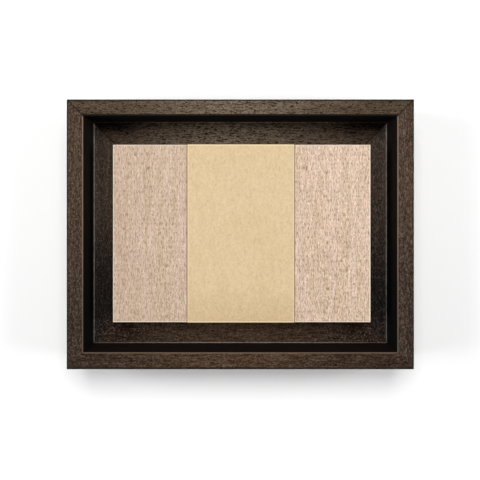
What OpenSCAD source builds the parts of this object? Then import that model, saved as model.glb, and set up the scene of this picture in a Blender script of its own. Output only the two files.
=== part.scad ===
// Tray frame for a postcard: four mitred L-shaped rails round a raised mount block.
// X is the width, Z is up, and the rim faces -Y. The back of the moulding lies in the plane
// y = 0, and the origin is the middle of that plane.

/* [Mount block] */
// Width of the block that the card is fixed to
block_w = 145; // [120:1:210]
// Height of the block
block_h = 100; // [80:1:150]
// Thickness of the block
block_t = 18; // [12:0.5:24]
// Radius of the block's sanded arrises
block_arris_r = 0.5; // [0.2:0.1:1.5]
// How far right of the frame's middle the block was fitted
block_off_x = 0.8; // [-2:0.1:2]
// How far above the frame's middle the block was fitted
block_off_z = 0.3; // [-2:0.1:2]

/* [Moulding] */
// Clear gap between the block's sides and the walls
gap_side_w = 14.5; // [8:0.5:20]
// Clear gap above and below the block
gap_top_h = 15.5; // [8:0.5:20]
// Depth from the rim down to the block's face
face_recess = 4.7; // [3:0.1:10]
// Thickness of the upright wall, which is the width of the rim
wall_t = 9.5; // [8:0.5:14]
// Thickness of the foot that carries the block
foot_t = 10; // [9:0.5:14]
// Least width of the foot under the block
bearing_w = 12.5; // [10:0.5:18]
// Radius of the rim's inner arris
rim_arris_r = 1; // [0.4:0.1:2]
// Radius of the moulding's other arrises
arris_r = 0.6; // [0.3:0.1:1.5]
// Radius of the cove between the wall and the foot
cove_r = 1; // [0.5:0.1:2.5]

/* [Paper band] */
// Width of the band round the block
band_w = 60; // [30:1:90]
// Thickness of the band's paper
band_t = 0.3; // [0.2:0.05:0.5]
// Length of the glued overlap behind the block
band_overlap = 16; // [8:1:24]
// How far right of the block's middle the band sits
band_off_x = -0.5; // [-4:0.1:4]

/* [Corner nails] */
// Length of each leg of a V-nail
v_nail_leg = 5; // [3:0.5:6]
// Thickness of a V-nail's steel
v_nail_t = 0.7; // [0.5:0.1:1]
// Height of a V-nail, which is the depth it is driven to
v_nail_h = 7; // [5:0.5:8]
// Angle between a V-nail's legs
v_nail_angle = 100; // [80:5:120]
// Distance from the outer faces to the bend of the nail under the wall
v_nail_inset = 7; // [6:0.5:9]

/* [Block screws] */
// Diameter of the screws' shank
screw_d = 3.5; // [3:0.5:4]
// Diameter of the screws' countersunk head
screw_head_d = 6.6; // [6:0.2:8]
// Depth of the screws' bite in the block
screw_bite = 9; // [6:0.5:10]
// Length of the screws' point
screw_tip_h = 5; // [3:0.5:5.5]
// Distance between the two screws of a side rail
screw_spacing = 60; // [40:1:64]
// How far the heads lie below the back
screw_sink = 0.4; // [0.2:0.1:1]
// Clearance round the shank in the foot
screw_clear = 0.2; // [0.1:0.05:0.4]
// Length of the two slots of the cross recess in a head
recess_l = 3; // [2.4:0.1:3]
// Width of the slots
recess_w = 0.9; // [0.6:0.1:1.2]
// Depth of the cross recess
recess_depth = 1.3; // [0.8:0.1:1.3]

/* [Sawtooth hanger] */
// Length of the hanger over its rounded ears
hanger_w = 46; // [40:1:60]
// Height of the hanger's strip
hanger_h = 9; // [7:0.5:12]
// Thickness of the hanger's steel
hanger_t = 0.8; // [0.6:0.1:1.2]
// How far the toothed bridge stands off the wood
hanger_rise = 1.6; // [1.2:0.1:2.4]
// Slope of the two bends beside the bridge
hanger_slope = 40; // [30:5:60]
// Length of the flat ear at each end
hanger_ear = 9; // [8:0.5:11]
// Distance between neighbouring teeth
tooth_pitch = 2; // [1.5:0.1:3]
// Depth of the notches between teeth
tooth_depth = 1.6; // [1:0.1:2]
// Number of notches along the bridge
tooth_count = 9; // [5:2:9]
// Shank diameter of the hanger's nails
pin_d = 1.3; // [1:0.1:1.6]
// Head diameter of the hanger's nails
pin_head_d = 3.2; // [2.6:0.1:4]
// Head thickness of the hanger's nails
pin_head_t = 0.6; // [0.4:0.1:1]
// Depth of the hanger's nails in the wood
pin_bite = 7; // [5:0.5:8]
// Length of the nails' point
pin_tip_h = 1.6; // [1:0.1:2.5]
// Width that the points of the nails and screws end in
tip_d = 0.4; // [0.2:0.1:0.6]

/* [Wall bumpers] */
// Diameter of the felt bumpers at the lower back corners
bumper_d = 10; // [8:0.5:14]
// Thickness of the bumpers
bumper_t = 2; // [1:0.1:3]
// Bevel round a bumper's outer edge
bumper_bevel = 0.6; // [0.2:0.1:0.9]
// Distance from the outer faces to a bumper's middle
bumper_inset = 12; // [9:0.5:16]

/* [Hidden] */
$fn = 48;

// The tray that the block sits in, and the moulding round it
tray_w = block_w + 2 * gap_side_w;
tray_h = block_h + 2 * gap_top_h;
frame_w = tray_w + 2 * wall_t;
frame_h = tray_h + 2 * wall_t;
foot_reach = max(gap_side_w, gap_top_h) + bearing_w;
moulding_w = wall_t + foot_reach;
frame_depth = foot_t + band_t + block_t + face_recess;

// The block's place: its back lies on the band, which lies on the foot
block_back_y = -(foot_t + band_t);
block_mid_y = block_back_y - block_t / 2;

// Screws stand in the middle of what the foot carries of the block's sides
screw_x = (block_w / 2 + tray_w / 2 - foot_reach) / 2;
screw_head_h = (screw_head_d - screw_d) / 2;
screw_len = foot_t + band_t + screw_bite - screw_sink;

// The hanger sits half way across the top rail's back
hanger_z = frame_h / 2 - moulding_w / 2;
hanger_bridge_half = hanger_w / 2 - hanger_ear - hanger_rise / tan(hanger_slope);
pin_x = hanger_w / 2 - hanger_h / 2;

// The nail under the foot stands half way along the foot's mitre
v_nail_foot_inset = wall_t + foot_reach / 2;

// Steps in a quarter arc, how far cuts run past a face, and how far notches do
arc_steps = 5;
over = 1;
notch_over = 0.1;

OAK = [0.30, 0.24, 0.20];
BEECH = [0.82, 0.71, 0.62];
KRAFT = [0.88, 0.78, 0.62];
STEEL = [0.72, 0.73, 0.75];
ZINC = [0.80, 0.76, 0.62];
FELT = [0.20, 0.19, 0.18];

// Points of a quarter arc round a centre, from one angle through 90 degrees
function quarter(centre, r, from, turn = 90) = [
    for (i = [0:arc_steps])
        let (angle = from + turn * i / arc_steps)
        centre + r * [cos(angle), sin(angle)]
];

// Outline of a rectangle round the middle, with its four corners rounded
function round_rect(w, h, r) = concat(
    quarter([w / 2 - r, h / 2 - r], r, 0),
    quarter([r - w / 2, h / 2 - r], r, 90),
    quarter([r - w / 2, r - h / 2], r, 180),
    quarter([w / 2 - r, r - h / 2], r, 270));

// Section of the moulding: x runs in from the outer face, y runs up from the back
function moulding_section() = concat(
    quarter([arris_r, arris_r], arris_r, 180),
    quarter([moulding_w - arris_r, arris_r], arris_r, 270),
    quarter([moulding_w - arris_r, foot_t - arris_r], arris_r, 0),
    quarter([wall_t + cove_r, foot_t + cove_r], cove_r, 270, -90),
    quarter([wall_t - rim_arris_r, frame_depth - rim_arris_r], rim_arris_r, 0),
    quarter([arris_r, frame_depth - arris_r], arris_r, 90));

// A prism along X whose section's x becomes Z and whose y runs forward
module prism_along_x(length) {
    rotate([180, -90, 0]) linear_extrude(length, center = true) children();
}

// A plate in the XZ plane, from the plane y = 0 forward by its thickness
module plate_forward(thickness) {
    rotate([90, 0, 0]) linear_extrude(thickness) children();
}

// One rail lying along the bottom, cut to its 45 degree mitres, with its corners eased
module mitred_rail(length) {
    intersection() {
        prism_along_x(length) polygon(moulding_section());
        plate_forward(frame_depth + over) polygon([
            [-length / 2, 0], [length / 2, 0],
            [length / 2 - moulding_w, moulding_w], [moulding_w - length / 2, moulding_w]]);
    }
}

// Turns a rail that was drawn along the bottom to its side of the frame
module to_side(turn, reach) {
    rotate([0, turn, 0]) translate([0, 0, -reach / 2]) children();
}

// A rail with everything let into it taken out
module rail(turn, length, reach) {
    color(OAK)
    difference() {
        intersection() {
            to_side(turn, reach) mitred_rail(length);
            translate([0, over, 0])
            plate_forward(frame_depth + 2 * over) polygon(round_rect(frame_w, frame_h, arris_r));
        }
        children();
    }
}

// The two V-nails of one corner, as holes for the rails
module corner_nails(side, level) {
    v_nail(side, level, v_nail_inset);
    v_nail(side, level, v_nail_foot_inset);
}

module rail_top() {
    rail(180, frame_w, frame_h) {
        corner_nails(-1, 1);
        corner_nails(1, 1);
        hanger_pin(-1);
        hanger_pin(1);
    }
}

module rail_bottom() {
    rail(0, frame_w, frame_h) {
        corner_nails(-1, -1);
        corner_nails(1, -1);
    }
}

module rail_left() {
    rail(90, frame_h, frame_w) {
        corner_nails(-1, -1);
        corner_nails(-1, 1);
        screw_hole(-1, -1);
        screw_hole(-1, 1);
    }
}

module rail_right() {
    rail(270, frame_h, frame_w) {
        corner_nails(1, -1);
        corner_nails(1, 1);
        screw_hole(1, -1);
        screw_hole(1, 1);
    }
}

// A bent steel wedge across a mitre, driven in from the back. Side and level are -1 or 1.
module v_nail(side, level, inset) {
    color(STEEL)
    translate([side * (frame_w / 2 - inset), 0, level * (frame_h / 2 - inset)])
    plate_forward(v_nail_h)
    rotate(atan2(-level, -side)) {
        circle(d = v_nail_t);
        for (leg = [-1, 1]) {
            rotate(leg * v_nail_angle / 2)
            translate([0, -v_nail_t / 2]) square([v_nail_leg, v_nail_t]);
        }
    }
}

// The block with its arrises eased all round and the screws' holes in its back
module mount_block() {
    color(BEECH)
    difference() {
        translate([block_off_x, block_mid_y, block_off_z])
        intersection() {
            rotate([90, 0, 0]) linear_extrude(block_t, center = true)
            polygon(round_rect(block_w, block_h, block_arris_r));
            linear_extrude(block_h, center = true)
            polygon(round_rect(block_w, block_t, block_arris_r));
            prism_along_x(block_w) polygon(round_rect(block_h, block_t, block_arris_r));
        }
        for (side = [-1, 1]) {
            for (level = [-1, 1]) screw_body(side, level);
        }
    }
}

// The strip folded round the block, with its glued ends one over the other behind it
module paper_band() {
    outer_r = block_arris_r + band_t;
    color(KRAFT)
    translate([block_off_x + band_off_x, block_mid_y, block_off_z]) {
        prism_along_x(band_w)
        difference() {
            polygon(round_rect(block_h + 2 * band_t, block_t + 2 * band_t, outer_r));
            polygon(round_rect(block_h, block_t, block_arris_r));
        }
        translate([-band_w / 2, block_t / 2, -band_overlap / 2])
        cube([band_w, 2 * band_t, band_overlap]);
    }
}

// A screw's shank and point, from the foot's back into the block
module screw_body(side, level) {
    translate([side * screw_x, -screw_sink, level * screw_spacing / 2])
    rotate([90, 0, 0]) {
        cylinder(h = screw_len - screw_tip_h, d = screw_d);
        translate([0, 0, screw_len - screw_tip_h])
        cylinder(h = screw_tip_h, d1 = screw_d, d2 = tip_d);
    }
}

// A screw's countersunk head
module screw_head(side, level) {
    translate([side * screw_x, -screw_sink, level * screw_spacing / 2])
    rotate([90, 0, 0])
    cylinder(h = screw_head_h, d1 = screw_head_d, d2 = screw_d);
}

// The hole through the foot, with its countersink open to the back
module screw_hole(side, level) {
    screw_head(side, level);
    translate([side * screw_x, over, level * screw_spacing / 2])
    rotate([90, 0, 0]) {
        cylinder(h = over + screw_sink, d = screw_head_d);
        cylinder(h = over + foot_t + over, d = screw_d + 2 * screw_clear);
    }
}

// A countersunk wood screw with a cross recess in its head
module block_screw(side, level) {
    color(ZINC)
    difference() {
        union() {
            screw_head(side, level);
            screw_body(side, level);
        }
        translate([side * screw_x, -screw_sink, level * screw_spacing / 2])
        rotate([0, 45, 0]) {
            cube([recess_l, 2 * recess_depth, recess_w], center = true);
            cube([recess_w, 2 * recess_depth, recess_l], center = true);
        }
    }
}

// The hanger's bent strip, cut to its outline of ears and teeth
module sawtooth_hanger() {
    shoulder = hanger_t * tan(hanger_slope / 2);
    ear_x = hanger_w / 2 - hanger_ear;
    color(STEEL)
    translate([0, 0, hanger_z])
    difference() {
        intersection() {
            linear_extrude(hanger_h, center = true)
            polygon([
                [-hanger_w / 2, 0], [-ear_x, 0], [-hanger_bridge_half, hanger_rise],
                [hanger_bridge_half, hanger_rise], [ear_x, 0], [hanger_w / 2, 0],
                [hanger_w / 2, hanger_t], [ear_x + shoulder, hanger_t],
                [hanger_bridge_half + shoulder, hanger_rise + hanger_t],
                [-hanger_bridge_half - shoulder, hanger_rise + hanger_t],
                [-ear_x - shoulder, hanger_t], [-hanger_w / 2, hanger_t]]);
            translate([0, hanger_rise + hanger_t + over, 0])
            plate_forward(hanger_rise + hanger_t + 2 * over) {
                square([hanger_w - hanger_h, hanger_h], center = true);
                for (side = [-1, 1]) {
                    translate([side * pin_x, 0]) circle(d = hanger_h);
                }
            }
        }
        for (i = [0:tooth_count - 1]) {
            translate([(i - (tooth_count - 1) / 2) * tooth_pitch, 0, -hanger_h / 2])
            translate([0, hanger_rise + hanger_t + over, 0])
            plate_forward(hanger_t + 2 * over)
            polygon([
                [-tooth_pitch / 2, -notch_over], [0, tooth_depth], [tooth_pitch / 2, -notch_over]]);
        }
        for (side = [-1, 1]) {
            translate([side * pin_x, hanger_t + over, 0])
            rotate([90, 0, 0]) cylinder(h = hanger_t + 2 * over, d = pin_d);
        }
    }
}

// A small flat-headed nail through an ear of the hanger
module hanger_pin(side) {
    color(STEEL)
    translate([side * pin_x, hanger_t, hanger_z])
    rotate([90, 0, 0]) {
        translate([0, 0, -pin_head_t]) cylinder(h = pin_head_t, d = pin_head_d);
        cylinder(h = hanger_t + pin_bite - pin_tip_h, d = pin_d);
        translate([0, 0, hanger_t + pin_bite - pin_tip_h])
        cylinder(h = pin_tip_h, d1 = pin_d, d2 = tip_d);
    }
}

// A felt disc stuck over a lower corner, with its outer edge bevelled
module wall_bumper(side) {
    color(FELT)
    translate([side * (frame_w / 2 - bumper_inset), 0, bumper_inset - frame_h / 2])
    rotate([-90, 0, 0]) {
        cylinder(h = bumper_t - bumper_bevel, d = bumper_d);
        translate([0, 0, bumper_t - bumper_bevel])
        cylinder(h = bumper_bevel, d1 = bumper_d, d2 = bumper_d - 2 * bumper_bevel);
    }
}

rail_top();
rail_bottom();
rail_left();
rail_right();
mount_block();
paper_band();
v_nail(-1, 1, v_nail_inset);  // v_nail_top_left_wall
v_nail(-1, 1, v_nail_foot_inset);  // v_nail_top_left_foot
v_nail(1, 1, v_nail_inset);  // v_nail_top_right_wall
v_nail(1, 1, v_nail_foot_inset);  // v_nail_top_right_foot
v_nail(-1, -1, v_nail_inset);  // v_nail_bottom_left_wall
v_nail(-1, -1, v_nail_foot_inset);  // v_nail_bottom_left_foot
v_nail(1, -1, v_nail_inset);  // v_nail_bottom_right_wall
v_nail(1, -1, v_nail_foot_inset);  // v_nail_bottom_right_foot
block_screw(-1, 1);  // block_screw_upper_left
block_screw(1, 1);  // block_screw_upper_right
block_screw(-1, -1);  // block_screw_lower_left
block_screw(1, -1);  // block_screw_lower_right
sawtooth_hanger();
hanger_pin(-1);  // hanger_nail_left
hanger_pin(1);  // hanger_nail_right
wall_bumper(-1);  // wall_bumper_left
wall_bumper(1);  // wall_bumper_right
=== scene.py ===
"""Looks of a postcard tray frame: stained oak moulding, beech block, brown paper band.

Metres, +Z up, the rim faces -Y and the back of the moulding lies in the plane y = 0.
"""

import math
from types import SimpleNamespace

import bpy
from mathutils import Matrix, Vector


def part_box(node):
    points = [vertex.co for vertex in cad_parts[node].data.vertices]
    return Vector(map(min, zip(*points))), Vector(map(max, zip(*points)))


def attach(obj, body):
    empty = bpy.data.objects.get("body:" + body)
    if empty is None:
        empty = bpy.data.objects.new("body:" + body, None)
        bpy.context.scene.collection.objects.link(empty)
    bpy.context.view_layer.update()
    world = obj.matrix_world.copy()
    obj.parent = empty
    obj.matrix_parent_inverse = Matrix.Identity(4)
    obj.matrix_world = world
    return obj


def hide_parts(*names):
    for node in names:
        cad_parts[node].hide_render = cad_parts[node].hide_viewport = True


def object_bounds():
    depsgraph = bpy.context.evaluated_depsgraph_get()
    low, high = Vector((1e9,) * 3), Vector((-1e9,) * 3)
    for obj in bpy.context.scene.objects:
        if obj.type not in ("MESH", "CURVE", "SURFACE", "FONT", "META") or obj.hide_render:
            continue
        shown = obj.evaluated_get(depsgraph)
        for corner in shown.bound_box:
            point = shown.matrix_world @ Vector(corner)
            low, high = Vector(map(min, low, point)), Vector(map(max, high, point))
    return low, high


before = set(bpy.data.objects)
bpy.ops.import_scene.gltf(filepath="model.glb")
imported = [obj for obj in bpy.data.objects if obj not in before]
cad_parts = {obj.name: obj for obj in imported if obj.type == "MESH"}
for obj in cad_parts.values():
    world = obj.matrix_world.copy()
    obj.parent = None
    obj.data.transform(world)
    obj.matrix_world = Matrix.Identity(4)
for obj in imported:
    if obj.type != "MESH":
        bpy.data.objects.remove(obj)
cad_low, cad_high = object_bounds()
block_low, block_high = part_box("mount_block")
band_low, band_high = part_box("paper_band")

MM = 0.001

# Closer than this, two places are the same
SAME_PLACE = 0.001 * MM

# Turns a flat plane upright, and a camera that looks down to look along +Y
UPRIGHT = (math.radians(90), 0, 0)


def span(low, high):
    """The length from low to high, to the micrometre, because the frame's places are single precision."""
    return round(high - low, 6)


def halfway(low, high):
    """The place halfway from low to high, to the micrometre."""
    return round((low + high) / 2, 6)


# The moulding's outer size
FRAME_W = span(cad_low.x, cad_high.x)
FRAME_H = span(cad_low.z, cad_high.z)
FRAME_DEPTH = span(cad_low.y, 0)

# The block, and how far it sits off the frame's middle
BLOCK_W = span(block_low.x, block_high.x)
BLOCK_H = span(block_low.z, block_high.z)
BLOCK_T = span(block_low.y, block_high.y)
BLOCK_RIGHT = halfway(block_low.x, block_high.x)
BLOCK_UP = halfway(block_low.z, block_high.z)

# The band, and how far it sits off the frame's middle. In front of the block there is only its paper.
BAND_W = span(band_low.x, band_high.x)
BAND_T = span(band_low.y, block_low.y)
BAND_RIGHT = halfway(band_low.x, band_high.x)

# The foot, from the moulding's back to its front. The band's paper lies between it and the block.
FOOT = span(block_high.y, 0) - BAND_T

# Sizes that no piece's box gives, as the CAD has them
WALL = 9.5 * MM
COVE = 1 * MM
RIM_ARRIS = 1 * MM
BLOCK_ARRIS = 0.5 * MM
BAND_LAP = 16 * MM

# Behind the block the band's upper end steps out over its lower end: the height of the step, and
# how far above the lower end it stops
LAP_STEP = 1.2 * MM
LAP_CLEAR = LAP_STEP / 4

# The block's face, the top of the band's lower end and the bottom of its upper end
BLOCK_FACE_Y = -FOOT - BAND_T - BLOCK_T
LAP_TOP_Z = BLOCK_UP + BAND_LAP / 2
LAP_END_Z = LAP_TOP_Z + LAP_CLEAR - BAND_LAP

# How the band is divided: along which axis, edges longer than what, and by how many cuts
BAND_CUTS = ((0, 1 * MM, 29), (2, 40 * MM, 39), (1, 10 * MM, 8))
BAND_FOLD_SEGMENTS = 4
BAND_SMOOTH_BELOW = math.radians(40)

# The band stands off the block in front, fully so this far from its folds, in patches of this size
BAND_FREE_FROM_FOLD = 8 * MM
BAND_UNEVEN_PATCH = 24 * MM
BAND_UNEVEN_HEIGHT = 0.22 * MM

# The camera looks straight along +Y at the rim, from a little above the middle
CAMERA_TO_RIM = 352.8 * MM
CAMERA_RIGHT = -0.9 * MM
CAMERA_UP = 12.4 * MM
SENSOR = 36.0
IMAGE_SIDE = 480
FOCAL_PIXELS = 635.7
SHIFT_RIGHT_PIXELS = 1.3
SHIFT_UP_PIXELS = -28.0

# The backdrop and its gap behind the frame
BACKDROP_SIDE = 1.6
BACKDROP_GAP = 0.1 * MM
BACKDROP_COLOUR = (1.16, 1.16, 1.16, 1)

# How far from the frame's middle the backdrop begins to fade, and where it is gone
BACKDROP_SEEN = 0.25
BACKDROP_GONE = 0.55

# How strongly the room lights the frame
ROOM_STRENGTH = 0.06

# Colours of the marks on the oak: painted shade on the outer arris, dark mitre joints, a painted highlight
# in the cove, and dust
OUTER_ARRIS_SHADE = (0.015, 0.0100, 0.0060)
MITRE_LINE = (0.010, 0.007, 0.005)
COVE_HIGHLIGHT = (0.36, 0.34, 0.31)
DUST = (0.19, 0.125, 0.090)

# Tones of the beech. A tint multiplies the tone under it.
BEECH_STRAW = (0.618, 0.461, 0.328)
BEECH_PINK = (0.660, 0.496, 0.390)
BEECH_LEFT_TINT = (0.92, 0.91, 0.89)
BEECH_FLECK_TINT = (1.0, 0.92, 0.87)
BEECH_EDGE_HIGHLIGHT = (0.96, 0.83, 0.70)
BEECH_BAND_SHADOW = (0.30, 0.180, 0.105)
BEECH_END_TINT = (0.80, 0.74, 0.66)

# Tones of the paper
PAPER_DARKER = (0.748, 0.568, 0.337)
PAPER_LIGHTER = (0.762, 0.580, 0.350)
PAPER_LOW_SHADE = (0.91, 0.88, 0.87)
PAPER_EDGE_AND_FOLD_HIGHLIGHT = (0.93, 0.77, 0.50)
PAPER_PAST_FOLD_SHADE = (0.50, 0.44, 0.36)
PAPER_LAP_END = (0.95, 0.79, 0.52)
PAPER_UNDER_LAP_TINT = (0.45, 0.38, 0.30)

# Tones of the felt, between its tufts and on them
FELT_LOW = (0.018, 0.017, 0.016)
FELT_HIGH = (0.075, 0.070, 0.066)

# Plated steels, each with its bright tone, its dull tone and its lowest roughness
WEDGE_STEEL = ((0.24, 0.25, 0.27), (0.14, 0.14, 0.15), 0.40)
YELLOW_ZINC = ((0.52, 0.39, 0.18), (0.38, 0.30, 0.17), 0.34)
BRIGHT_ZINC = ((0.33, 0.34, 0.36), (0.21, 0.215, 0.225), 0.46)

# What the eye sees of a colour is about this root of its value
SEEN_GAMMA = 2.2

# Grain makes no colour look darker than this
DARKEST_SEEN = 0.02

# How softly a short mark begins, in its pattern's value
MARK_SOFTNESS = 0.05

# Each rail has its grain along X (0) or Z (2). Painted sheen lightens rails along X toward their middle,
# and rails along Z toward
# their top. The stain, the sheen colour, arris and wall are colours, and the rails' stains are lit and
# shaded copies of one oak:
# lightest on the top rail, darkest on the bottom. Grain lists patterns: patches to the millimetre, how many
# times longer they are along the grain, and how strongly they show. Pores darken and flecks lighten, and
# calm is how strong all of it is where the rail
# has no painted sheen. In mm: how wide the painted shade on the outer arris round the rim is, how wide the
# inner arris is that is painted as a highlight, or as shade on the top rail, and how far short of the
# wall's face it ends. Wall is the painted shade on the wall's inner face. Cove is how strongly its painted
# highlight shows, and cove_start how far across the cove it starts. Ledge gives how light the foot is at
# some distances (mm) from the wall, as painted shade and light.
RAILS = {
    "rail_top": SimpleNamespace(
        axis=0, seed=1, stain=(0.076, 0.0490, 0.0280), sheen_colour=(0.146, 0.1080, 0.0745),
        grain=((2.4, 2.5, 0.36), (1.9, 1, 0.12), (1.3, 8, 0.14), (1.9, 16, 0.10)),
        pores=0.21, flecks=0.0, calm=0.64, rim_line=0.85,
        arris=(0.004, 0.003, 0.002), arris_width=0.90, arris_gap=0.45,
        wall=(0.0006, 0.0005, 0.0003), cove=0.0, cove_start=0.30,
        ledge=((0.4, 0.24), (2.2, 0.56), (4.5, 0.86), (8.0, 0.94)),
    ),
    "rail_bottom": SimpleNamespace(
        axis=0, seed=2, stain=(0.036, 0.0195, 0.0108), sheen_colour=(0.067, 0.0375, 0.0195),
        grain=((2.4, 2, 0.26), (1.9, 8, 0.16), (1.3, 16, 0.10)),
        pores=0.06, flecks=0.055, calm=0.95, rim_line=1.15,
        arris=(0.250, 0.180, 0.122), arris_width=0.50, arris_gap=0.10,
        wall=(0.0070, 0.0026, 0.0011), cove=0.75, cove_start=0.50,
        ledge=((1.0, 0.92), (6.0, 0.95)),
    ),
    "rail_left": SimpleNamespace(
        axis=2, seed=3, stain=(0.040, 0.0245, 0.0150), sheen_colour=(0.064, 0.0370, 0.0215),
        grain=((1.8, 1.5, 0.22), (2.3, 8, 0.12), (1.3, 16, 0.05)),
        pores=0.03, flecks=0.080, calm=1.0, rim_line=0.85,
        arris=(0.230, 0.165, 0.115), arris_width=0.50, arris_gap=0.32,
        wall=(0.0046, 0.0028, 0.0016), cove=1.0, cove_start=0.32,
        ledge=((1.0, 1.50), (3.2, 1.02), (5.0, 0.78), (8.5, 1.12)),
    ),
    "rail_right": SimpleNamespace(
        axis=2, seed=4, stain=(0.040, 0.0245, 0.0150), sheen_colour=(0.064, 0.0370, 0.0215),
        grain=((1.8, 1.5, 0.22), (2.3, 8, 0.12), (1.3, 16, 0.05)),
        pores=0.03, flecks=0.080, calm=1.0, rim_line=0.85,
        arris=(0.210, 0.148, 0.103), arris_width=0.60, arris_gap=0.22,
        wall=(0.0046, 0.0026, 0.0014), cove=1.0, cove_start=0.32,
        ledge=((1.0, 1.55), (3.2, 1.05), (5.0, 0.80), (8.5, 1.12)),
    ),
}

# The longest distance from the wall that a ledge may give, in mm
LEDGE_REACH = 10

# The grain of the block and the paper, as in the rails
BEECH_GRAIN = ((2.7, 2.8, 0.28), (2.2, 1, 0.06), (1.9, 8, 0.14), (1.3, 16, 0.10))
PAPER_GRAIN = ((0.9, 2, 0.050), (1.9, 1, 0.060), (0.45, 3, 0.025))


def node(tree, kind, sockets=None, **settings):
    """Adds a shader node, sets its settings, and links or fills its sockets by name or number."""
    made = tree.nodes.new(kind)
    for name, value in settings.items():
        setattr(made, name, value)
    for name, value in (sockets or {}).items():
        if isinstance(value, bpy.types.NodeSocket):
            tree.links.new(value, made.inputs[name])
        else:
            made.inputs[name].default_value = value
    return made


def calc(tree, operation, first, second=0.0, clamp=False):
    """One step of arithmetic on two sockets or numbers."""
    made = node(tree, "ShaderNodeMath", {0: first, 1: second}, operation=operation, use_clamp=clamp)
    return made.outputs[0]


def less(tree, first, second):
    """Takes the second socket or number from the first."""
    return calc(tree, "SUBTRACT", first, second)


def times(tree, first, *others):
    """Multiplies sockets or numbers."""
    for other in others:
        first = calc(tree, "MULTIPLY", first, other)
    return first


def total(tree, first, *others):
    """Adds sockets or numbers."""
    for other in others:
        first = calc(tree, "ADD", first, other)
    return first


def distance(tree, value, centre):
    """How far a value lies from a centre, to either side."""
    return calc(tree, "ABSOLUTE", less(tree, value, centre))


def fade(tree, value, start, end):
    """0 below start, 1 above end and smooth between. With start above end it falls instead."""
    made = node(
        tree, "ShaderNodeMapRange",
        {"Value": value, "From Min": start, "From Max": end},
        interpolation_type="SMOOTHSTEP",
    )
    return made.outputs["Result"]


def spread(tree, value, low, high):
    """Turns 0 to 1 into low to high."""
    return node(
        tree, "ShaderNodeMapRange", {"Value": value, "To Min": low, "To Max": high}
    ).outputs["Result"]


def blend(tree, share, first, second, how="MIX"):
    """Mixes two colours, each a socket or three numbers."""
    made = node(tree, "ShaderNodeMix", data_type="RGBA", blend_type=how)
    for number, value in ((0, share), (6, first), (7, second)):
        if isinstance(value, bpy.types.NodeSocket):
            tree.links.new(value, made.inputs[number])
        elif number == 0:
            made.inputs[number].default_value = value
        else:
            made.inputs[number].default_value = (*value, 1.0)
    return made.outputs[2]


def tinted(tree, share, colour, tint):
    """Multiplies a colour by a tint, as far as share says."""
    return blend(tree, share, colour, tint, "MULTIPLY")


def scaled(tree, colour, factor):
    """A colour made lighter or darker by a factor."""
    return node(tree, "ShaderNodeVectorMath", {0: colour, "Scale": factor}, operation="SCALE").outputs[0]


def stepped(tree, colour, step):
    """Lightens or darkens a colour by the same step in red, green and blue, as the eye sees them."""
    seen = node(tree, "ShaderNodeGamma", {"Color": colour, "Gamma": 1 / SEEN_GAMMA}).outputs[0]
    moved = node(tree, "ShaderNodeVectorMath", {0: seen, 1: step}, operation="ADD").outputs[0]
    darkest = (DARKEST_SEEN, DARKEST_SEEN, DARKEST_SEEN)
    kept = node(tree, "ShaderNodeVectorMath", {0: moved, 1: darkest}, operation="MAXIMUM").outputs[0]
    return node(tree, "ShaderNodeGamma", {"Color": kept, "Gamma": SEEN_GAMMA}).outputs[0]


def along_ramp(tree, value, reach, points):
    """A factor that runs through points, each a distance and a factor. Reach is the longest distance."""
    ramp = node(tree, "ShaderNodeValToRGB", {"Fac": times(tree, value, 1 / reach)})
    elements = ramp.color_ramp.elements
    ramp.color_ramp.interpolation = "EASE"

    # A new ramp has two points already
    for number, (place, factor) in enumerate(points):
        if number < 2:
            elements[number].position = place / reach
        else:
            elements.new(place / reach)
        elements[number].color = (factor, factor, factor, 1)
    return ramp.outputs["Color"]


def along_grain(tree, where, axis, stretch, seed):
    """Coordinates in millimetres across the grain, and stretched along it."""
    scale = [1 / MM] * 3
    scale[axis] = 1 / MM / stretch
    offset = (37.0 * seed, 11.0 * seed, 23.0 * seed)
    return node(
        tree, "ShaderNodeMapping", {"Vector": where, "Location": offset, "Scale": scale}
    ).outputs[0]


def noise(tree, where, scale, detail=2.0, rough=0.5, twist=0.0):
    """A noise pattern's value. Scale is in patches to the millimetre."""
    return node(
        tree, "ShaderNodeTexNoise",
        {"Vector": where, "Scale": scale, "Detail": detail, "Roughness": rough, "Distortion": twist},
    ).outputs["Fac"]


def grain_steps(tree, where, axis, seed, grain):
    """Fine grain of several patterns, each a scale, a stretch along the grain and a strength."""
    steps = 0.0
    for number, (scale, stretch, strength) in enumerate(grain):
        pattern = noise(tree, along_grain(tree, where, axis, stretch, seed + 3 * number), scale, 0.0)
        steps = total(tree, steps, times(tree, less(tree, pattern, 0.5), strength))
    return steps


def short_marks(tree, where, axis, seed, scale, stretch, start):
    """Scattered short marks along the grain, such as pores or flecks: 1 in a mark and 0 beside it."""
    place = along_grain(tree, where, axis, stretch, seed)
    return fade(tree, noise(tree, place, scale, 0.0), start, start + MARK_SOFTNESS)


def new_material(name):
    """An empty material, and its node tree."""
    material = bpy.data.materials.new(name)
    material.use_nodes = True
    material.node_tree.nodes.clear()
    return material, material.node_tree


def output(tree, shader):
    """Makes a shader the material's surface."""
    node(tree, "ShaderNodeOutputMaterial", {"Surface": shader.outputs[0]})


def finished(tree, sockets, height, strength, relief):
    """Ends a material with a principled shader. Its bump follows a height, with the relief in mm."""
    bump = node(tree, "ShaderNodeBump", {"Strength": strength, "Distance": relief * MM, "Height": height})
    output(tree, node(tree, "ShaderNodeBsdfPrincipled", {**sockets, "Normal": bump.outputs[0]}))


def object_place(tree):
    """A place on a piece, as Object coordinates."""
    return node(tree, "ShaderNodeTexCoord").outputs["Object"]


def place_on_piece(tree):
    """A place on a piece, and its x, y and z."""
    where = object_place(tree)
    parts = node(tree, "ShaderNodeSeparateXYZ", {0: where})
    return SimpleNamespace(where=where, x=parts.outputs[0], y=parts.outputs[1], z=parts.outputs[2])


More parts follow.
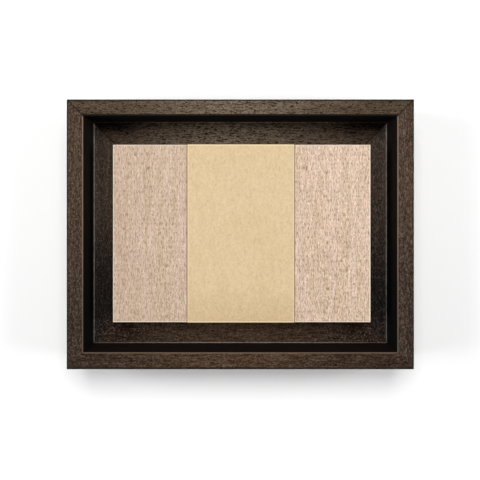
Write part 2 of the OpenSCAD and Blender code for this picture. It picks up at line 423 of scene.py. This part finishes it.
def place_in_frame(tree):
    """A place on a rail, how far it is from the frame's middle, and how far in from its outer faces."""
    at = place_on_piece(tree)
    at.from_middle = calc(tree, "ABSOLUTE", at.x)
    at.from_side = less(tree, FRAME_W / 2, at.from_middle)
    at.from_end = less(tree, FRAME_H / 2, calc(tree, "ABSOLUTE", at.z))
    at.inset = calc(tree, "MINIMUM", at.from_side, at.from_end)
    return at


def place_on_block(tree):
    """A place on the block or the band, how far it is from their middle lines, and if it is in front."""
    at = place_on_piece(tree)
    at.in_front = fade(tree, at.y, BLOCK_FACE_Y + 1.2 * MM, BLOCK_FACE_Y + 0.6 * MM)
    at.from_level = distance(tree, at.z, BLOCK_UP)
    at.from_band = distance(tree, at.x, BAND_RIGHT)

    # The painted highlights along the lower edges are a little wider than those along the upper ones
    at.toward_edge = total(tree, at.from_level, times(tree, fade(tree, at.z, 0.0, -10 * MM), 0.2 * MM))
    return at


def oak_sheen_share(tree, at, rail):
    """1 where the painted sheen is strongest: toward the middle of a level rail and the top of an upright
    one.
    """
    if rail.axis == 0:
        off_middle = calc(tree, "ABSOLUTE", total(tree, at.x, 4 * MM))
        return fade(tree, off_middle, 86 * MM, -4 * MM)
    return fade(tree, at.z, -46 * MM, 34 * MM)


def oak_figure(tree, at, rail, painted_sheen):
    """The stain's colour, lightened by painted sheen and in long soft streaks."""
    brown = blend(tree, painted_sheen, rail.stain, rail.sheen_colour)
    figure = noise(tree, along_grain(tree, at.where, rail.axis, 18, rail.seed), 0.42, 2, 0.5, 0.3)
    return scaled(tree, brown, spread(tree, fade(tree, figure, 0.36, 0.64), 0.88, 1.12))


def foot_front(tree, at):
    """1 on the front of the foot, and fading out across the cove."""
    return times(
        tree,
        fade(tree, at.inset, WALL + 0.1 * COVE, WALL + 0.6 * COVE),
        fade(tree, at.y, -FOOT - 1.6 * COVE, -FOOT - 1.1 * COVE),
        fade(tree, at.y, -FOOT + 2.5 * COVE, -FOOT + 0.5 * COVE),
    )


def shaded_foot(tree, at, rail, on_foot, brown):
    """Paints shade on the foot by its distance from the wall, in the upper corners and low down at the
    sides, and a painted reflection beside the wall at the sides.
    """
    from_wall = less(tree, calc(tree, "DIVIDE", at.inset, MM), WALL / MM)
    brown = tinted(tree, on_foot, brown, along_ramp(tree, from_wall, LEDGE_REACH, rail.ledge))
    if rail.axis == 0:
        # Painted shade in the upper corners, beside the wall
        corner_shade = times(
            tree, on_foot, fade(tree, at.z, 0.0, 10 * MM),
            fade(tree, at.from_middle, 48 * MM, 80 * MM),
            fade(tree, at.inset, WALL + 9 * MM, WALL + 2 * MM),
        )
        return scaled(tree, brown, less(tree, 1.0, times(tree, corner_shade, 0.80)))
    # Painted shade low down at the sides
    dim = times(tree, on_foot, fade(tree, at.z, 20 * MM, -42 * MM), 0.70)
    brown = scaled(tree, brown, less(tree, 1.0, dim))

    # Painted reflection: the sides are greyer beside the wall
    greyed = node(tree, "ShaderNodeHueSaturation", {"Color": brown, "Saturation": 0.8})
    beside_wall = times(tree, on_foot, fade(tree, at.inset, WALL + 9 * MM, WALL + 5 * MM))
    return blend(tree, beside_wall, brown, greyed.outputs[0])


def oak_grain(tree, at, rail, painted_sheen):
    """The grain's steps in tone, and its open pores. Pores are dark, and medullary flecks are pale."""
    open_pores = short_marks(tree, at.where, rail.axis, rail.seed + 21, 2.2, 5.0, 0.60)
    pale_flecks = short_marks(tree, at.where, rail.axis, rail.seed + 25, 1.4, 2.0, 0.56)
    steps = total(
        tree, grain_steps(tree, at.where, rail.axis, rail.seed + 2, rail.grain),
        times(tree, pale_flecks, rail.flecks), times(tree, open_pores, -rail.pores),
    )
    return times(tree, steps, spread(tree, painted_sheen, rail.calm, 1.0)), open_pores


def painted_rim_arrises(tree, at, rail, arris_end, brown):
    """Paints a highlight on the rim's inner arris, or shade where its arris colour is dark, and paints
    shade on its outer arris.
    """
    on_rim = fade(tree, at.y, 1.4 * RIM_ARRIS - FRAME_DEPTH, 0.8 * RIM_ARRIS - FRAME_DEPTH)
    arris_start = arris_end - rail.arris_width * MM
    on_inner_arris = times(tree, on_rim, fade(tree, at.inset, arris_start - 0.1 * MM, arris_start + 0.1 * MM))
    # Painted light: the inner arris is lighter toward the top
    arris_light = spread(tree, fade(tree, at.z, -60 * MM, 30 * MM), 0.62, 1.10)
    brown = blend(tree, times(tree, on_inner_arris, 0.92), brown, scaled(tree, rail.arris, arris_light))
    # Painted shade along the outer arris round the rim
    line_end = fade(tree, at.inset, (rail.rim_line + 0.2) * MM, (rail.rim_line - 0.15) * MM)
    outer = times(tree, on_rim, line_end)
    return blend(tree, outer, brown, OUTER_ARRIS_SHADE), outer


def wall_shade(tree, at, rail):
    """Painted shade on the wall's inner face: nearly black, in streaks, and darkest low down at the sides.
    """
    streaks = noise(tree, along_grain(tree, at.where, rail.axis, 10, rail.seed + 41), 0.9, 2.0, 0.7)
    tone = scaled(tree, rail.wall, spread(tree, fade(tree, streaks, 0.35, 0.65), 0.3, 1.8))
    if rail.axis == 2:
        tone = scaled(tree, tone, spread(tree, fade(tree, at.z, -48 * MM, 40 * MM), 0.2, 1.7))
    return tone


def cove_shade_and_highlight(tree, at, rail, brown, dark):
    """Draws the cove under the wall: painted shade beside the wall, then a broken painted highlight."""
    along = along_grain(tree, at.where, rail.axis, 2, rail.seed + 15)
    broken_line = fade(tree, noise(tree, along, 0.9, 2), 0.36, 0.56)
    if rail.axis == 0:
        lightest = fade(tree, at.from_middle, 85 * MM, 20 * MM)
    else:
        lightest = fade(tree, at.z, -62 * MM, -10 * MM)
    on_cove = times(
        tree,
        fade(tree, at.inset, WALL - 0.3 * COVE, WALL - 0.1 * COVE),
        fade(tree, at.inset, WALL + 1.00 * COVE, WALL + 0.80 * COVE),
        fade(tree, at.y, -FOOT - 1.1 * COVE, -FOOT - 0.9 * COVE),
        fade(tree, at.y, -FOOT + 0.5 * COVE, -FOOT),
    )
    # Painted highlight in a broken line along the cove, lightest toward the middle or the top
    pale = fade(tree, at.inset, WALL + rail.cove_start * COVE, WALL + (rail.cove_start + 0.18) * COVE)
    brown = blend(tree, times(tree, on_cove, less(tree, 1.0, pale)), brown, dark)
    broken_share = spread(tree, broken_line, 0.55, 1.0)
    pale = times(tree, pale, broken_share, spread(tree, lightest, 0.45, 1.0), rail.cove)
    return blend(tree, times(tree, on_cove, pale), brown, COVE_HIGHLIGHT)


def dusted(tree, at, rail, on_foot, brown):
    """Puts pale dust specks in the tray's lower corners."""
    specks = times(
        tree, on_foot, short_marks(tree, at.where, rail.axis, rail.seed + 31, 1.2, 1, 0.68),
        fade(tree, at.z, -46 * MM, -54 * MM), fade(tree, at.from_middle, 40 * MM, 62 * MM),
    )
    return blend(tree, times(tree, specks, 0.8), brown, DUST)


def lined_mitres(tree, at, brown):
    """Draws a dark hairline along each mitre, strongest at the top."""
    off_mitre = distance(tree, at.from_side, at.from_end)
    strongest_high = spread(tree, fade(tree, at.z, 0.0, 30 * MM), 0.30, 0.95)
    mitre = times(tree, fade(tree, off_mitre, 0.55 * MM, 0.30 * MM), strongest_high)
    return blend(tree, mitre, brown, MITRE_LINE)


def stained_oak(name, rail):
    """Dark stained oak, with the painted sheen, highlights and shade that the parts of one rail have."""
    material, tree = new_material(name)
    at = place_in_frame(tree)
    painted_sheen = oak_sheen_share(tree, at, rail)
    on_foot = foot_front(tree, at)
    brown = shaded_foot(tree, at, rail, on_foot, oak_figure(tree, at, rail, painted_sheen))
    steps, open_pores = oak_grain(tree, at, rail, painted_sheen)
    brown = stepped(tree, brown, steps)

    # The wall's painted shade begins where the rim's inner arris ends
    arris_end = WALL - rail.arris_gap * MM
    brown, outer = painted_rim_arrises(tree, at, rail, arris_end, brown)
    in_wall = times(
        tree,
        fade(tree, at.inset, arris_end - 0.1 * MM, arris_end + 0.1 * MM),
        fade(tree, at.y, -FOOT - 0.7 * COVE, -FOOT - 1.3 * COVE),
    )
    dark = wall_shade(tree, at, rail)
    brown = blend(tree, in_wall, brown, dark)
    if rail.cove:
        brown = cove_shade_and_highlight(tree, at, rail, brown, dark)
    brown = lined_mitres(tree, at, dusted(tree, at, rail, on_foot, brown))

    # The outer arris is smooth, and the wall's face has no shine
    height = less(tree, times(tree, steps, 1.5), open_pores)
    height = times(tree, height, less(tree, 1.0, outer))
    roughness = calc(tree, "MAXIMUM", spread(tree, open_pores, 0.56, 0.80), in_wall)
    sockets = {"Base Color": brown, "Roughness": roughness, "Specular IOR Level": 0.15}
    finished(tree, sockets, height, strength=0.4, relief=0.08)
    return material


def beech_tone(tree, at):
    """Soft upright bands of straw and pink, darker at the far left and lighter at the right, and a little
    lighter at the top as painted light.
    """
    figure = noise(tree, along_grain(tree, at.where, 2, 16, 1), 0.26, 2, 0.5, 0.2)
    bands = fade(tree, figure, 0.30, 0.70)
    tone = blend(tree, bands, BEECH_STRAW, BEECH_PINK)
    tone = tinted(tree, fade(tree, at.x, -38 * MM, -74 * MM), tone, BEECH_LEFT_TINT)
    tone = scaled(tree, tone, spread(tree, fade(tree, at.x, -40 * MM, 50 * MM), 1.0, 1.12))
    # Painted light: the top is a little lighter than the bottom
    return scaled(tree, tone, spread(tree, fade(tree, at.z, -50 * MM, 50 * MM), 0.98, 1.02)), bands


def beech_edge_highlights(tree, at):
    """How strongly the painted highlights on the arrises round the face show: most of all at the right."""
    off_side = distance(tree, at.x, BLOCK_RIGHT)
    side_edge = fade(tree, off_side, BLOCK_W / 2 - 0.80 * MM, BLOCK_W / 2 - 0.35 * MM)
    side_edge = times(tree, side_edge, spread(tree, fade(tree, at.x, 0.0, 10 * MM), 0.55, 1.0))
    level_edge = fade(tree, at.toward_edge, BLOCK_H / 2 - 0.75 * MM, BLOCK_H / 2 - 0.30 * MM)
    return times(tree, calc(tree, "MAXIMUM", side_edge, times(tree, level_edge, 0.75)), at.in_front)


def pale_beech(name):
    """Bare sanded beech with its grain upright: pinkish and straw-coloured, with short dark flecks."""
    material, tree = new_material(name)
    at = place_on_block(tree)
    tone, bands = beech_tone(tree, at)
    flecks = short_marks(tree, at.where, 2, 7, 2.3, 6.0, 0.60)
    dark_flecks = times(tree, flecks, spread(tree, bands, -0.16, -0.12))
    steps = total(tree, grain_steps(tree, at.where, 2, 11, BEECH_GRAIN), dark_flecks)
    stronger = spread(tree, fade(tree, at.x, -20 * MM, 20 * MM), 0.88, 1.12)
    tone = stepped(tree, tone, times(tree, steps, stronger))
    tone = tinted(tree, times(tree, flecks, 0.6), tone, BEECH_FLECK_TINT)
    # Painted highlights on the arrises round the face
    tone = blend(tree, beech_edge_highlights(tree, at), tone, BEECH_EDGE_HIGHLIGHT)

    # A painted shadow: a thin brown line beside each edge of the band
    band_shadow = fade(tree, at.from_band, BAND_W / 2 + 0.65 * MM, BAND_W / 2 + 0.40 * MM)
    tone = blend(tree, times(tree, band_shadow, 0.9), tone, BEECH_BAND_SHADOW)

    # The end grain at the top and bottom is darker and browner
    end_grain = fade(tree, at.from_level, BLOCK_H / 2 - 0.25 * MM, BLOCK_H / 2 - 0.05 * MM)
    tone = tinted(tree, end_grain, tone, BEECH_END_TINT)
    height = less(tree, steps, times(tree, flecks, 0.6))
    sockets = {"Base Color": tone, "Roughness": 0.62, "Specular IOR Level": 0.30}
    finished(tree, sockets, height, strength=0.35, relief=0.06)
    return material


def paper_edges(tree, at, tone):
    """Makes the cut edges paler, paints a highlight on the two folds in front, and paints shade on the
    paper past the folds.
    """
    cut_edge = times(
        tree,
        fade(tree, at.from_band, BAND_W / 2 - 0.80 * MM, BAND_W / 2 - 0.50 * MM),
        fade(tree, at.from_band, BAND_W / 2 - 0.02 * MM, BAND_W / 2 - 0.20 * MM),
    )
    # Painted highlight on the two folds in front
    fold_highlight = times(
        tree, at.in_front,
        fade(tree, at.toward_edge, BLOCK_H / 2 - 0.80 * MM, BLOCK_H / 2 - 0.45 * MM),
        fade(tree, at.from_level, BLOCK_H / 2 + 0.15 * MM, BLOCK_H / 2 - 0.05 * MM),
    )
    paler = calc(tree, "MAXIMUM", times(tree, cut_edge, 0.35), times(tree, fold_highlight, 0.70))
    tone = blend(tree, paler, tone, PAPER_EDGE_AND_FOLD_HIGHLIGHT)
    # Painted shade on the paper past the folds
    past_fold = fade(tree, at.from_level, BLOCK_H / 2 - 0.05 * MM, BLOCK_H / 2 + 0.20 * MM)
    return tinted(tree, times(tree, past_fold, at.in_front), tone, PAPER_PAST_FOLD_SHADE)


def paper_lap(tree, at, tone):
    """Makes the lap's end behind the block pale, with a line of glue and painted shade under it."""
    behind = fade(tree, at.y, -FOOT - 2 * MM, -FOOT - 1 * MM)
    past_lap = less(tree, at.z, LAP_END_Z)
    lap_end = times(
        tree, behind,
        fade(tree, past_lap, 0.7 * MM, 0.4 * MM), fade(tree, past_lap, -0.05 * MM, 0.05 * MM),
    )
    under_lap = times(
        tree, behind,
        fade(tree, past_lap, -0.8 * MM, -0.3 * MM), fade(tree, past_lap, 0.05 * MM, -0.05 * MM),
    )
    tone = blend(tree, times(tree, lap_end, 0.6), tone, PAPER_LAP_END)
    return tinted(tree, times(tree, under_lap, 0.8), tone, PAPER_UNDER_LAP_TINT)


def brown_paper(name):
    """Smooth brown wrapping paper with a fine mottle and faint fibres."""
    material, tree = new_material(name)
    at = place_on_block(tree)
    cloud = noise(tree, along_grain(tree, at.where, 2, 1.5, 2), 0.06, 2, 0.5)
    tone = blend(tree, fade(tree, cloud, 0.38, 0.62), PAPER_DARKER, PAPER_LIGHTER)
    # Painted shade: the paper is darker low down
    tone = tinted(tree, fade(tree, at.z, -26 * MM, -50 * MM), tone, PAPER_LOW_SHADE)
    fibres = short_marks(tree, at.where, 2, 9, 1.9, 2, 0.60)
    steps = total(tree, grain_steps(tree, at.where, 2, 5, PAPER_GRAIN), times(tree, fibres, -0.035))
    tone = stepped(tree, tone, steps)
    tone = paper_lap(tree, at, paper_edges(tree, at, tone))
    sockets = {"Base Color": tone, "Roughness": 0.82, "Specular IOR Level": 0.30}
    finished(tree, sockets, steps, strength=0.25, relief=0.03)
    return material


def plated_steel(name, bright, dull, rough):
    """Sheet or wire steel with a thin plating that is duller in patches."""
    material, tree = new_material(name)
    patches = noise(tree, along_grain(tree, object_place(tree), 0, 2, 6), 0.7, 4, 0.6)
    tone = blend(tree, fade(tree, patches, 0.40, 0.68), bright, dull)
    roughness = spread(tree, patches, rough, rough + 0.2)
    sockets = {"Base Color": tone, "Metallic": 1.0, "Roughness": roughness}
    finished(tree, sockets, patches, strength=0.15, relief=0.03)
    return material


def dark_felt(name):
    """Pressed felt, soft and uneven."""
    material, tree = new_material(name)
    tufts = noise(tree, along_grain(tree, object_place(tree), 0, 1, 3), 3.0, 5, 0.7, 0.8)
    tone = blend(tree, fade(tree, tufts, 0.35, 0.70), FELT_LOW, FELT_HIGH)
    sockets = {"Base Color": tone, "Roughness": 0.95, "Sheen Weight": 0.4}
    finished(tree, sockets, tufts, strength=0.8, relief=0.25)
    return material


def dress(name, material):
    """Gives a CAD node its finish."""
    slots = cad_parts[name].data.materials
    slots.clear()
    slots.append(material)


def dress_all():
    """Gives each CAD node its finish, apart from the band's, which is replaced."""
    for name, rail in RAILS.items():
        dress(name, stained_oak("stained_oak_" + name, rail))
    dress("mount_block", pale_beech("sanded_beech"))
    wedge_steel = plated_steel("wedge_steel", *WEDGE_STEEL)
    yellow_zinc = plated_steel("yellow_zinc", *YELLOW_ZINC)
    bright_zinc = plated_steel("bright_zinc", *BRIGHT_ZINC)
    felt = dark_felt("dark_felt")
    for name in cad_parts:
        if name.startswith("v_nail"):
            dress(name, wedge_steel)
        elif name.startswith("block_screw"):
            dress(name, yellow_zinc)
        elif "hanger" in name:
            dress(name, bright_zinc)
        elif name.startswith("wall_bumper"):
            dress(name, felt)


def chosen(mesh, test):
    """Selects the edges whose two ends pass a test, and nothing else. The mesh is in edit mode."""
    bpy.ops.mesh.select_all(action="DESELECT")
    bpy.ops.object.mode_set(mode="OBJECT")
    for edge in mesh.edges:
        first, second = (mesh.vertices[number].co for number in edge.vertices)
        edge.select = test(first, second)
    bpy.ops.object.mode_set(mode="EDIT")


def folded_strip(back_y, front_y, bottom_z, top_z):
    """A flat strip down the back, extruded from its lower edge round the block and over itself."""
    bpy.ops.object.select_all(action="DESELECT")
    bpy.ops.mesh.primitive_plane_add(
        size=1, location=(BAND_RIGHT, back_y, (LAP_TOP_Z + bottom_z) / 2), rotation=UPRIGHT
    )
    strip = bpy.context.object
    strip.name = "brown_paper_band"
    strip.scale = (BAND_W, LAP_TOP_Z - bottom_z, 1)
    bpy.ops.object.transform_apply(location=True, rotation=True, scale=True)
    bpy.ops.object.mode_set(mode="EDIT")
    bpy.ops.mesh.select_mode(type="EDGE")
    chosen(strip.data, lambda a, b: max(a.z, b.z) < bottom_z + 0.1 * MM)
    for move in (
        (0, front_y - back_y, 0),
        (0, 0, top_z - bottom_z),
        (0, back_y - front_y, 0),
        (0, 0, LAP_TOP_Z + LAP_CLEAR + LAP_STEP - top_z),
        (0, BAND_T, -LAP_STEP),
        (0, 0, -BAND_LAP),
    ):
        bpy.ops.mesh.extrude_region_move(TRANSFORM_OT_translate={"value": move})
    return strip


def rounded_and_divided(mesh, bottom_z, top_z):
    """Rounds the four folds, then divides the strip finely enough to take a slight unevenness."""
    def at_fold(a, b):
        across = abs(a.z - b.z) < SAME_PLACE and abs(a.y - b.y) < SAME_PLACE
        return across and not bottom_z + 1 * MM < a.z < top_z - 1 * MM

    chosen(mesh, at_fold)
    bpy.ops.mesh.bevel(offset=BLOCK_ARRIS + BAND_T / 2, segments=BAND_FOLD_SEGMENTS, affect="EDGES")
    for axis, longer_than, cuts in BAND_CUTS:
        chosen(mesh, lambda a, b: abs(a[axis] - b[axis]) > longer_than)
        bpy.ops.mesh.subdivide(number_cuts=cuts)
    bpy.ops.mesh.select_all(action="SELECT")
    bpy.ops.mesh.normals_make_consistent(inside=False)
    bpy.ops.object.mode_set(mode="OBJECT")


def uneven_paper(strip, front_y):
    """Lets the paper stand off the block a little in front, but not at its folds, and thickens it."""
    free = strip.vertex_groups.new(name="free_paper")
    for vertex in strip.data.vertices:
        from_fold = BLOCK_H / 2 - abs(vertex.co.z - BLOCK_UP)
        in_front = vertex.co.y < front_y + 0.1 * MM
        weight = in_front * min(1.0, max(0.0, from_fold / BAND_FREE_FROM_FOLD))
        free.add([vertex.index], weight, "REPLACE")
    clouds = bpy.data.textures.new("paper_unevenness", "CLOUDS")
    clouds.noise_scale = BAND_UNEVEN_PATCH
    uneven = strip.modifiers.new("uneven", "DISPLACE")
    uneven.texture = clouds
    uneven.texture_coords = "LOCAL"
    uneven.vertex_group = free.name
    uneven.mid_level = 0.0
    uneven.strength = BAND_UNEVEN_HEIGHT
    thickness = strip.modifiers.new("thickness", "SOLIDIFY")
    thickness.thickness = BAND_T
    thickness.offset = 0.0
    for modifier in (uneven, thickness):
        bpy.ops.object.modifier_apply(modifier=modifier.name)
    bpy.ops.object.shade_smooth_by_angle(angle=BAND_SMOOTH_BELOW)


def paper_band():
    """One strip folded round the block from behind, with its upper end lapped over its lower one."""
    back_y = -FOOT - BAND_T / 2
    front_y = back_y - BLOCK_T - BAND_T
    top_z = BLOCK_UP + (BLOCK_H + BAND_T) / 2
    bottom_z = BLOCK_UP - (BLOCK_H + BAND_T) / 2
    strip = folded_strip(back_y, front_y, bottom_z, top_z)
    rounded_and_divided(strip.data, bottom_z, top_z)
    uneven_paper(strip, front_y)
    strip.data.materials.append(brown_paper("brown_paper"))

    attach(strip, "root")
    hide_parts("paper_band")


def backdrop():
    """The pale wall behind the frame. Only a camera in front of it sees it, near the frame."""
    bpy.ops.object.select_all(action="DESELECT")
    bpy.ops.mesh.primitive_plane_add(
        size=BACKDROP_SIDE, location=(0, cad_high.y + BACKDROP_GAP, 0), rotation=UPRIGHT
    )
    wall = bpy.context.object
    wall.name = "backdrop_wall"
    bpy.ops.object.transform_apply(location=True, rotation=True, scale=True)
    material, tree = new_material("pale_wall")
    reach = node(tree, "ShaderNodeVectorMath", {0: object_place(tree)}, operation="LENGTH").outputs["Value"]
    near = fade(tree, reach, BACKDROP_GONE, BACKDROP_SEEN)
    front = less(tree, 1.0, node(tree, "ShaderNodeNewGeometry").outputs["Backfacing"])
    camera_ray = node(tree, "ShaderNodeLightPath").outputs["Is Camera Ray"]
    matt = node(tree, "ShaderNodeBsdfDiffuse", {"Color": BACKDROP_COLOUR})
    clear = node(tree, "ShaderNodeBsdfTransparent")
    seen = times(tree, camera_ray, front, near)
    output(tree, node(
        tree, "ShaderNodeMixShader", {0: seen, 1: clear.outputs[0], 2: matt.outputs[0]}
    ))
    wall.data.materials.append(material)


def lamp(name, place, aim, width, height, watts):
    """A soft rectangular lamp that faces the point aim."""
    data = bpy.data.lights.new(name, "AREA")
    data.shape = "RECTANGLE"
    data.size = width
    data.size_y = height
    data.energy = watts
    made = bpy.data.objects.new(name, data)
    made.location = place
    made.rotation_euler = (Vector(aim) - Vector(place)).to_track_quat("-Z", "Y").to_euler()
    bpy.context.scene.collection.objects.link(made)


def dim_room():
    """A dim world that the camera sees as white, and so do mirrors turned to the backdrop."""
    world = bpy.data.worlds.new("pale_room")
    bpy.context.scene.world = world
    world.use_nodes = True
    tree = world.node_tree
    tree.nodes.clear()
    direction = node(tree, "ShaderNodeTexCoord").outputs["Generated"]
    toward_wall = fade(tree, node(tree, "ShaderNodeSeparateXYZ", {0: direction}).outputs[1], -0.1, 0.3)
    path = node(tree, "ShaderNodeLightPath")
    mirrored = total(tree, path.outputs["Is Glossy Ray"], path.outputs["Is Transmission Ray"])
    mirrored = times(tree, mirrored, toward_wall)
    white = calc(tree, "ADD", path.outputs["Is Camera Ray"], mirrored, clamp=True)
    strength = spread(tree, white, ROOM_STRENGTH, 1.0)
    background = node(tree, "ShaderNodeBackground", {"Color": (1, 1, 1, 1), "Strength": strength})
    node(tree, "ShaderNodeOutputWorld", {"Surface": background.outputs[0]})


def studio():
    """A key lamp above the camera, a lamp at each side in front and behind, and a dim room."""
    middle = (0, -FRAME_DEPTH / 2, 0)
    lamp("key_lamp", (0, -0.90, 0.44), middle, 0.60, 0.46, 5.3)
    for side, watts in ((-1, 5.9), (1, 5.2)):
        lamp("side_lamp", (side * 0.90, -0.60, 0.0), middle, 0.40, 0.60, watts)
        lamp("rear_lamp", (side * 0.80, 0.70, -0.20), middle, 0.5, 0.5, 5.0)
    dim_room()


def camera():
    """A level camera square to the rim, whose picture is shifted and not turned."""
    data = bpy.data.cameras.new("camera")
    data.sensor_width = SENSOR
    data.lens = FOCAL_PIXELS / IMAGE_SIDE * SENSOR
    data.shift_x = SHIFT_RIGHT_PIXELS / IMAGE_SIDE
    data.shift_y = SHIFT_UP_PIXELS / IMAGE_SIDE
    made = bpy.data.objects.new("camera", data)
    made.location = (CAMERA_RIGHT, -FRAME_DEPTH - CAMERA_TO_RIM, CAMERA_UP)
    made.rotation_euler = UPRIGHT
    bpy.context.scene.collection.objects.link(made)
    bpy.context.scene.camera = made


bpy.context.scene.view_settings.view_transform = "Standard"
camera()
dress_all()
paper_band()
backdrop()
studio()
